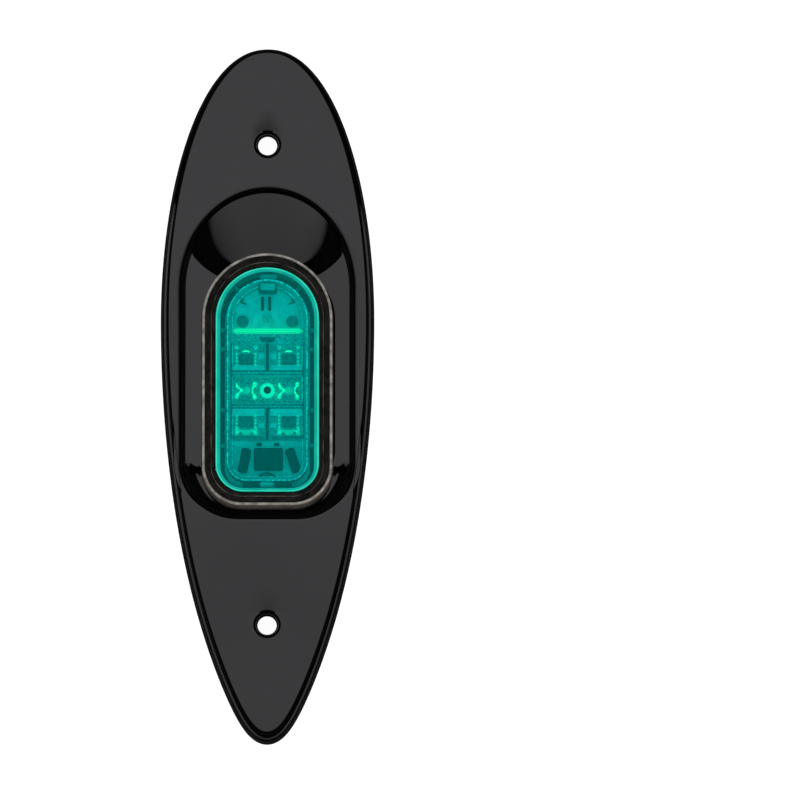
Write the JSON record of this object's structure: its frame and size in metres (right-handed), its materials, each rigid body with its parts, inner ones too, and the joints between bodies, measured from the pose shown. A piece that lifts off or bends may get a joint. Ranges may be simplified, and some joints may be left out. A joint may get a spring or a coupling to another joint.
{
  "type": "navigation light",
  "caption": "Teardrop hull-side navigation light: black shell, rubber-mounted lamp, green D-shaped lens over a lit circuit board, two screw holes.",
  "frame": {"origin": "centre of the mounting plane, where the gasket meets the hull", "axes": "+Z out of the hull through the lens, +Y towards the blunt forward end, +X to the right seen from the front with +Y up"},
  "size_m": [0.0684, 0.2258, 0.0164],
  "materials": {
    "base_shell": "gloss black moulded plastic",
    "mounting_gasket": "matte black rubber",
    "lamp_gasket": "soft black rubber with a paler worn bead",
    "lens": "clear green polycarbonate, polished",
    "lens_seal": "black silicone",
    "lamp_housing": "satin black",
    "cable_gland": "black rubber",
    "potting_block": "cast black resin",
    "circuit_board": "pale solder mask",
    "reflector_tray": "pale satin plastic",
    "reflector_grid": "pale satin plastic",
    "light_bar": "bright polished edge",
    "led": "white package with phosphor window",
    "driver_chip": "dark moulded package",
    "capacitor": "dark sleeve",
    "jumper": "dark",
    "resistor": "dark with tinned ends",
    "locating_pin": "satin",
    "board_screw": "plated",
    "board_rivet": "tinned"
  },
  "bodies": {
    "root": {"base_shell": "base_shell", "mounting_gasket": "mounting_gasket", "lamp_gasket": "lamp_gasket", "lens": "lens", "lens_seal": "lens_seal", "lamp_housing": "lamp_housing", "cable_gland": "cable_gland", "potting_block": "potting_block", "circuit_board": "circuit_board", "reflector_tray": "reflector_tray", "reflector_grid": "reflector_grid", "light_bar": "light_bar", "led_1": "led", "led_2": "led", "led_3": "led", "led_4": "led", "led_5": "led", "led_6": "led", "driver_chip": "driver_chip", "capacitor_left": "capacitor", "capacitor_right": "capacitor", "jumper_left": "jumper", "jumper_right": "jumper", "resistor_left": "resistor", "resistor_right": "resistor", "locating_pin_left": "locating_pin", "locating_pin_right": "locating_pin", "board_screw": "board_screw", "board_rivet": "board_rivet"}
  },
  "joints": []
}
